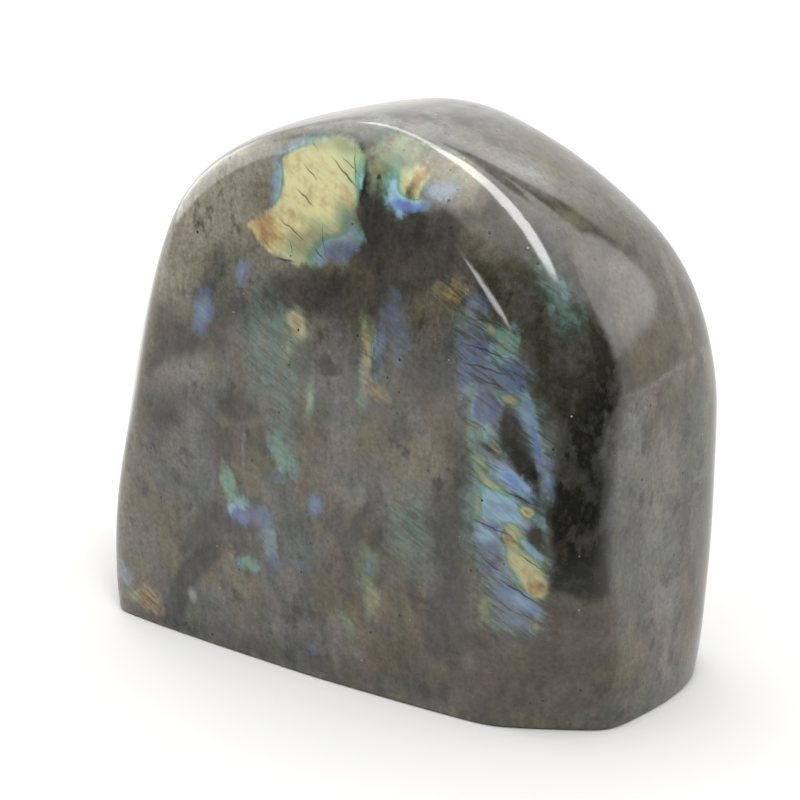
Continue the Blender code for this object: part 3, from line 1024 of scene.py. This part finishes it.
@dataclass
class Patterns:
    """The node groups that the stone's finish is put together from."""

    crack_edge: Pair = (1.0, 0.3)
    drift_detail: float = 2.0
    drift_roughness: float = 0.6
    smallest_speck: float = 0.4
    speck_heart: float = 0.4

    def __post_init__(self) -> None:
        """Build every group once."""
        self.crack = self.build_crack()
        self.drift = self.build_drift()
        self.speck = self.build_speck()
        self.order_colour = self.build_order_colour()

    def build_crack(self) -> Graph:
        """Build the group that adds one crack, a thin oval, to those before it."""
        inputs = {
            "Point": "Vector", "Middle": "Vector", "Across": "Vector", "Up": "Vector",
            "Strength": "Float", "Under": "Float",
        }
        graph = Graph.group("Crack layer", inputs, {"Crack": "Float"})
        offset = graph.vector("SUBTRACT", graph.inputs["Point"], graph.inputs["Middle"])
        across = graph.vector("DOT_PRODUCT", offset, graph.inputs["Across"])
        up = graph.vector("DOT_PRODUCT", offset, graph.inputs["Up"])
        reach = graph.vector("LENGTH", graph.node("CombineXYZ", {0: across, 1: up}).outputs[0])
        line = graph.ease(reach, *self.crack_edge, 0.0, graph.inputs["Strength"])
        graph.put_out(Crack=graph.math("MAXIMUM", line, graph.inputs["Under"]))
        return graph

    def build_drift(self) -> Graph:
        """Build the group that moves a point about, so that a pattern read there has a ragged edge."""
        inputs = {"Point": "Vector", "Size": "Float", "Amount": "Float"}
        graph = Graph.group("Drift", inputs, {"Point": "Vector"})
        scaled = graph.vector("DIVIDE", graph.inputs["Point"], graph.thrice(graph.inputs["Size"]))
        lumps = graph.noise(scaled, 1.0, self.drift_detail, self.drift_roughness)
        push = graph.vector("SUBTRACT", lumps.outputs["Color"], (0.5, 0.5, 0.5))
        amount = graph.node("VectorMath", {0: push, "Scale": graph.inputs["Amount"]}, operation="SCALE")
        graph.put_out(Point=graph.vector("ADD", graph.inputs["Point"], amount.outputs[0]))
        return graph

    def build_speck(self) -> Graph:
        """Build the group that scatters small specks of one colour over the colour below."""
        inputs = {
            "Point": "Vector", "Size": "Vector", "Radius": "Float", "Chosen": "Float",
            "Colour": "Color", "Under Colour": "Color",
        }
        graph = Graph.group("Specks", inputs, {"Colour": "Color"})
        scaled = graph.vector("DIVIDE", graph.inputs["Point"], graph.inputs["Size"])
        cells = graph.node("TexVoronoi", {"Vector": scaled, "Scale": 1.0})
        pick = graph.node("SeparateXYZ", {0: cells.outputs["Color"]}).outputs
        share_of_radius = graph.math("ADD", pick[1], self.smallest_speck)
        radius = graph.math("MULTIPLY", graph.inputs["Radius"], share_of_radius)
        heart = graph.math("MULTIPLY", radius, self.speck_heart)
        dot = graph.ease(cells.outputs["Distance"], radius, heart)
        share = graph.math("MULTIPLY", dot, graph.math("GREATER_THAN", pick[0], graph.inputs["Chosen"]))
        graph.put_out(Colour=graph.tint(share, graph.inputs["Under Colour"], graph.inputs["Colour"]))
        return graph

    def build_order_colour(self) -> Graph:
        """Build the group that gives an interference order its colour."""
        graph = Graph.group("Order colour", {"Order": "Float"}, {"Colour": "Color"})
        ramp = graph.node("ValToRGB", {0: graph.inputs["Order"]})
        elements = ramp.color_ramp.elements
        first, last = ORDER_COLOURS[DEEP_VIOLET], ORDER_COLOURS[RUSSET]
        elements[0].color, elements[1].color = (*first, 1.0), (*last, 1.0)
        for order, colour in list(ORDER_COLOURS.items())[1:-1]:
            elements.new(order.value).color = (*colour, 1.0)
        graph.put_out(Colour=ramp.outputs[0])
        return graph


@dataclass(frozen=True)
class Specks:
    """Small specks, at most one to each cell of a size, where the cell's own number is high enough."""

    cell: Triple
    radius: float
    chosen_above: float
    colour: Colour


@dataclass(frozen=True)
class LabradoriteFinish:
    """The polished stone: mottled grey-olive feldspar with flashes under its surface."""

    name: str = "labradorite"
    grey: Colour = (0.076, 0.078, 0.071)
    olive: Colour = (0.078, 0.068, 0.046)
    pale: Colour = (0.135, 0.13, 0.112)
    dark: Colour = (0.024, 0.023, 0.018)
    crack: Colour = (0.012, 0.012, 0.008)
    specks: tuple[Specks, ...] = (
        Specks((2.1, 2.1, 2.4), 0.13, 0.8, (0.006, 0.006, 0.004)),
        # The pale specks are painted glints
        Specks((2.7, 2.7, 2.7), 0.075, 0.7, (0.24, 0.2, 0.15)),
    )
    roughness: float = 0.1
    refraction: float = 1.56

    # How far apart and how far each point is moved before the mottling and the cracks are read there
    mottling_drift: Pair = (9.0, 3.2)
    crack_drift: Pair = (3.0, 1.2)
    # The cracks are on the front, before this depth
    cracks_before: float = -5.0

    # The mottling: grey to olive, uneven hues, paler veils, dark blotches, fine streaks and grain
    clouds: Clouds = (24.0, 2.0, 0.55)
    clouds_to_olive: Steps = (0.38, 0.62)
    hues: Clouds = ((5.0, 5.0, 7.0), 3.0, 0.6)
    hue_greyness: float = 0.8
    hue_gain: Triple = (2.0, 2.0, 2.0)
    veils: Clouds = ((7.0, 7.0, 12.0), 4.0, 0.62)
    veils_to_pale: Steps = (0.5, 0.72, 0.0, 0.6)
    blotches: Clouds = ((4.5, 4.5, 6.0), 4.0, 0.65)
    blotches_in_tones: Steps = (0.62, 0.4, 0.72, 1.1)
    blotches_to_dark: Steps = (0.48, 0.28, 0.0, 0.8)
    streaks: Clouds = ((1.4, 3.0, 9.0), 2.0, 0.6)
    streak_shade: Steps = (0.3, 0.7, 0.84, 1.0)
    grain: Clouds = (0.9, 3.0, 0.75)
    grain_shade: Steps = (0.25, 0.75, -0.2, 0.26)

    # The flashes: their lumps make the edges ragged and vary order and gleam, and slanted streaks cross them
    lumps: Clouds = ((1.8, 1.8, 2.4), 3.0, 0.6)
    lumps_to_edge: Steps = (0.3, 0.7, -0.5, 0.5)
    lumps_to_order: Steps = (0.3, 0.7, 0.03, -0.03)
    lumps_to_gleam: Steps = (0.3, 0.7, 0.84, 1.12)
    layers: Clouds = ((5.0, 2.0, 0.8), 3.0, 0.6, 0.4)
    layers_to_dark: Steps = (0.58, 0.36)
    layer_slope: float = math.radians(28.0)
    layer_shadow: float = 0.55
    flash_edge: Steps = (-1.0, 1.0)

    # The unevenness of the polish, and its height in metres
    polish: Clouds = (2.6, 1.0, 0.5)
    polish_strength: float = 0.12
    polish_height: float = 0.0001

    def material(self) -> bpy.types.Material:
        """Build the material.

        Returns:
            The labradorite, whose patterns read Object coordinates and the surface's markings.
        """
        patterns = Patterns()
        material = bpy.data.materials.new(self.name)
        material.use_nodes = True
        graph = Graph(material.node_tree)
        shader = material.node_tree.nodes["Principled BSDF"]
        point = graph.place_on_piece()
        mottled, wavering = (
            graph.place(patterns.drift, Point=point, Size=size, Amount=amount).outputs[0]
            for size, amount in (self.mottling_drift, self.crack_drift)
        )
        stone = self.stone_colour(graph, point, mottled)
        coloured = self.lay_flash(graph, patterns, point, stone)
        marked = graph.tint(self.crack_layers(graph, patterns, wavering), coloured, self.crack)
        for specks in self.specks:
            node = graph.place(
                patterns.speck, Point=point, Size=specks.cell, Radius=specks.radius,
                Chosen=specks.chosen_above, Colour=specks.colour, Under_Colour=marked,
            )
            marked = node.outputs["Colour"]
        graph.feed(shader.inputs["Base Color"], marked)
        graph.feed(shader.inputs["Normal"], self.relief(graph, point))
        shader.inputs["Roughness"].default_value = self.roughness
        shader.inputs["IOR"].default_value = self.refraction
        return material

    def stone_colour(self, graph: Graph, point: bpy.types.NodeSocket, coarse: bpy.types.NodeSocket
                     ) -> bpy.types.NodeSocket:
        """Mottle the stone's own colour.

        Args:
            graph: the material's graph.
            point: places in millimetres.
            coarse: the same places, moved about.

        Returns:
            The stone's colour without its flashes.
        """
        clouds = graph.noise(point, *self.clouds).outputs[0]
        colour = graph.tint(graph.ease(clouds, *self.clouds_to_olive), self.grey, self.olive)
        hues = graph.noise(coarse, *self.hues)
        shades = graph.tint(self.hue_greyness, hues.outputs["Color"], hues.outputs[0])
        colour = graph.vector("MULTIPLY", colour, graph.vector("MULTIPLY", shades, self.hue_gain))
        veils = graph.noise(coarse, *self.veils).outputs[0]
        colour = graph.tint(graph.ease(veils, *self.veils_to_pale), colour, self.pale)
        blotches = graph.noise(coarse, *self.blotches).outputs[0]
        tone = graph.node("Attribute", {}, attribute_name=TONE).outputs
        patchiness = graph.ease(blotches, *self.blotches_in_tones)
        patchy = graph.math("MULTIPLY", tone["Alpha"], patchiness, clamp=True)
        colour = graph.tint(patchy, colour, tone["Color"])
        colour = graph.tint(graph.ease(blotches, *self.blotches_to_dark), colour, self.dark)
        streaks = graph.noise(coarse, *self.streaks).outputs[0]
        grain = graph.noise(point, *self.grain).outputs[0]
        shades = graph.ease(streaks, *self.streak_shade), graph.ease(grain, *self.grain_shade)
        return graph.vector("MULTIPLY", colour, graph.thrice(graph.math("ADD", *shades)))

    def lay_flash(self, graph: Graph, patterns: Patterns, point: bpy.types.NodeSocket,
                  stone: bpy.types.NodeSocket) -> bpy.types.NodeSocket:
        """Colour the flashes, with their fine layers and ragged edges, and lay them over the stone.

        Args:
            graph: the material's graph.
            patterns: the node groups.
            point: places in millimetres.
            stone: the stone's own colour.

        Returns:
            The stone's colour with its flashes.
        """
        edge, order, strength, crossing = (
            graph.node("Attribute", {}, attribute_name=name).outputs["Fac"] for name in FLASH_FIELDS
        )
        lumps = graph.noise(point, *self.lumps).outputs[0]
        ragged = graph.math("ADD", edge, graph.ease(lumps, *self.lumps_to_edge))
        turn = (0.0, -self.layer_slope, 0.0)
        slanted = graph.node("Mapping", {"Vector": point, "Rotation": turn}).outputs[0]
        layers = graph.noise(slanted, *self.layers).outputs[0]
        varied = graph.math("ADD", order, graph.ease(lumps, *self.lumps_to_order))
        colour = graph.place(patterns.order_colour, Order=varied).outputs[0]
        share = graph.math("MULTIPLY", graph.ease(ragged, *self.flash_edge), strength)
        dark = graph.math("MULTIPLY", graph.ease(layers, *self.layers_to_dark), crossing)
        bright = graph.math("SUBTRACT", 1.0, dark)
        gleam = graph.math("MULTIPLY", graph.ease(lumps, *self.lumps_to_gleam), bright)
        shaded = graph.tint(graph.math("MULTIPLY", dark, self.layer_shadow), stone, self.dark)
        return graph.tint(graph.math("MULTIPLY", share, gleam, clamp=True), shaded, colour)

    def crack_layers(self, graph: Graph, patterns: Patterns, point: bpy.types.NodeSocket
                     ) -> bpy.types.NodeSocket:
        """Draw the healed cracks.

        Args:
            graph: the material's graph.
            patterns: the node groups.
            point: places in millimetres, moved a little.

        Returns:
            How dark a crack is at a place on the front.
        """
        under = 0.0
        for crack in FRONT_CRACKS:
            oval = crack.oval()
            across, up = ((x, 0.0, z) for x, z in oval.axes())
            node = graph.place(
                patterns.crack, Point=point, Middle=(oval.x, 0.0, oval.z), Across=across, Up=up,
                Strength=crack.strength, Under=under,
            )
            under = node.outputs["Crack"]
        depth = graph.node("SeparateXYZ", {0: point}).outputs["Y"]
        return graph.math("MULTIPLY", under, graph.math("LESS_THAN", depth, self.cracks_before))

    def relief(self, graph: Graph, point: bpy.types.NodeSocket) -> bpy.types.NodeSocket:
        """Make the polish slightly uneven.

        Args:
            graph: the material's graph.
            point: places in millimetres.

        Returns:
            The surface's normal.
        """
        inputs = {
            "Strength": self.polish_strength,
            "Distance": self.polish_height,
            "Height": graph.noise(point, *self.polish).outputs[0],
        }
        return graph.node("Bump", inputs).outputs[0]


# The studio


@dataclass(frozen=True)
class RoomArea:
    """A soft-edged oblong of the room round the stone that is lighter or darker, seen from the stone.

    Its middle is at a heading, 0 at the front and 90 at the right, and an angle above level, and its turn is
    clockwise, all in degrees.
    """

    heading: float
    height_angle: float
    half_width: float
    half_height: float
    light: float
    turn: float = 0.0
    softness: float = 0.3
    reach_ahead: float = 1.2

    def frame(self) -> tuple[Vector, Euler]:
        """Return the direction to its middle, and the turn of a frame that faces the stone from there."""
        middle = Studio.direction(self.heading, self.height_angle)
        facing = (-middle).to_track_quat("Z", "Y").to_matrix()
        return middle, (facing @ Matrix.Rotation(-math.radians(self.turn), 3, "Z")).to_euler()

    def sizes(self) -> Triple:
        """Return how far its edges lie from its middle on the ball of directions, across, up and ahead."""
        across, up = (math.sin(math.radians(half)) for half in (self.half_width, self.half_height))
        return across, up, self.reach_ahead


@dataclass
class Studio:
    """A pale table before a white wall, the camera, and the room round them that lights the stone."""

    camera_heading: float = 31.56
    camera_height_angle: float = 19.85
    camera_distance: float = 388.9
    camera_target: Triple = (0.42, 1.0, 48.33)
    focal_pixels: float = 2054.8
    picture_pixels: float = 800.0
    sensor_width: float = 36.0
    floor_half_size: float = 4000.0
    floor_pale: Colour = (0.32, 0.318, 0.314)
    # The colour of the painted shade on the table
    floor_painted_shade: Colour = (0.02, 0.02, 0.02)
    floor_seen: Colour = (0.37, 0.367, 0.361)
    floor_roughness: float = 0.9
    # Painted shade darkens the table towards the front, between two depths, and round a place, between two
    # radii
    painted_shade_from: Pair = (-200.0, -330.0)
    painted_shade_middle: Triple = (150.0, -250.0, 0.0)
    painted_shade_radii: Pair = (235.0, 165.0)
    wall_light: float = 1.05
    ceiling_light: float = 3.3
    ceiling_from: Pair = (22.0, 62.0)
    areas: tuple[RoomArea, ...] = (
        RoomArea(-78.0, 6.0, 42.0, 20.0, 3.2),
        RoomArea(150.0, 64.0, 15.0, 8.0, 0.9, softness=0.4),
        RoomArea(149.0, 41.0, 5.5, 23.0, 0.4, turn=-38.0, softness=0.4),
        RoomArea(121.0, 24.5, 18.0, 12.5, 2.9, softness=0.25),
        RoomArea(36.0, -6.0, 72.0, 34.0, 0.04, softness=0.1),
        RoomArea(-130.0, 74.0, 3.5, 22.0, 9.0),
        RoomArea(50.0, 60.0, 8.0, 27.0, 14.0, softness=0.14),
        RoomArea(-5.5, 4.0, 6.5, 1.9, 9.0, turn=12.0),
    )

    @staticmethod
    def direction(heading: float, height_angle: float) -> Vector:
        """Return the direction of a heading, 0 at the front and 90 at the right, and an angle above level."""
        a, e = math.radians(heading), math.radians(height_angle)
        return Vector((math.sin(a) * math.cos(e), -math.cos(a) * math.cos(e), math.sin(e)))

    def build_camera(self) -> None:
        """Place the camera where the photograph was taken from."""
        data = bpy.data.cameras.new("camera")
        data.sensor_width = self.sensor_width
        data.lens = self.focal_pixels / self.picture_pixels * self.sensor_width
        camera = bpy.data.objects.new("camera", data)
        bpy.context.scene.collection.objects.link(camera)
        back = self.direction(self.camera_heading, self.camera_height_angle)
        camera.location = (Vector(self.camera_target) + back * self.camera_distance) * MM
        camera.rotation_euler = (-back).to_track_quat("-Z", "Y").to_euler()
        bpy.context.scene.camera = camera

    def build_floor(self) -> None:
        """Lay the pale table, with painted shade that the stone's polish sees darken it towards the room."""
        mesh = bpy.data.meshes.new("table")
        table = bmesh.new()
        bmesh.ops.create_grid(table, x_segments=1, y_segments=1, size=self.floor_half_size * MM)
        table.to_mesh(mesh)
        table.free()
        floor = bpy.data.objects.new("table", mesh)
        bpy.context.scene.collection.objects.link(floor)
        material = bpy.data.materials.new("table")
        material.use_nodes = True
        graph = Graph(material.node_tree)
        shader = material.node_tree.nodes["Principled BSDF"]
        point = graph.place_on_piece()
        y = graph.node("SeparateXYZ", {0: point}).outputs["Y"]
        reach = graph.vector("DISTANCE", point, self.painted_shade_middle)
        # Painted shade: the table darkens towards the front and round a place
        painted_shade = graph.math("MAXIMUM", graph.ease(y, *self.painted_shade_from), graph.ease(reach, *self.painted_shade_radii))
        seen = graph.node("LightPath", {}).outputs["Is Camera Ray"]
        mirrored = graph.tint(painted_shade, self.floor_pale, self.floor_painted_shade)
        graph.feed(shader.inputs["Base Color"], graph.tint(seen, mirrored, self.floor_seen))
        shader.inputs["Roughness"].default_value = self.floor_roughness
        shader.inputs["Specular IOR Level"].default_value = 0.0
        mesh.materials.append(material)

    def area_share(self, graph: Graph, area: RoomArea, direction: bpy.types.NodeSocket
                   ) -> bpy.types.NodeSocket:
        """Return how much a direction belongs to a part of the room.

        Args:
            graph: the room's graph.
            area: the part of the room.
            direction: the direction, from the stone.

        Returns:
            1 well inside the part and 0 outside it.
        """
        middle, turn = area.frame()
        inputs = {"Vector": direction, "Location": middle, "Rotation": turn, "Scale": area.sizes()}
        place = graph.node("Mapping", inputs, vector_type="TEXTURE").outputs[0]
        reach = graph.vector("LENGTH", graph.vector("MULTIPLY", place, place))
        return graph.ease(reach, 1.0 + area.softness, 1.0 - area.softness)

    def build_room(self) -> None:
        """Light the room by direction; the camera itself sees a plain white wall."""
        world = bpy.data.worlds.new("room")
        bpy.context.scene.world = world
        world.use_nodes = True
        graph = Graph(world.node_tree)
        background = world.node_tree.nodes["Background"]
        direction = graph.node("TexCoord", {}).outputs["Generated"]
        rise = graph.node("SeparateXYZ", {0: direction}).outputs["Z"]
        low, high = (math.sin(math.radians(angle)) for angle in self.ceiling_from)
        light = graph.ease(rise, low, high, self.wall_light, self.ceiling_light)
        for area in self.areas:
            light = graph.blend(self.area_share(graph, area, direction), light, area.light)
        seen = graph.node("LightPath", {}).outputs["Is Camera Ray"]
        graph.feed(background.inputs["Strength"], graph.blend(seen, light, 1.0))
        background.inputs["Color"].default_value = (1.0, 1.0, 1.0, 1.0)

    def build(self) -> None:
        """Set up the whole studio."""
        self.build_floor()
        self.build_room()
        self.build_camera()
        bpy.context.scene.view_settings.view_transform = "Standard"


def main() -> None:
    """Build the studio and the stone, and report each piece."""
    logging.basicConfig(level=logging.INFO, format="%(name)s: %(message)s")
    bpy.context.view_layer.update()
    Studio().build()
    LOG.info("studio: table, room and camera")
    stone = PolishedStone()
    piece = stone.build()
    LOG.info("%s: %d faces", piece.name, len(piece.data.polygons))
    stone.dress(piece, Markings(), LabradoriteFinish())


if __name__ == "__main__":
    main()
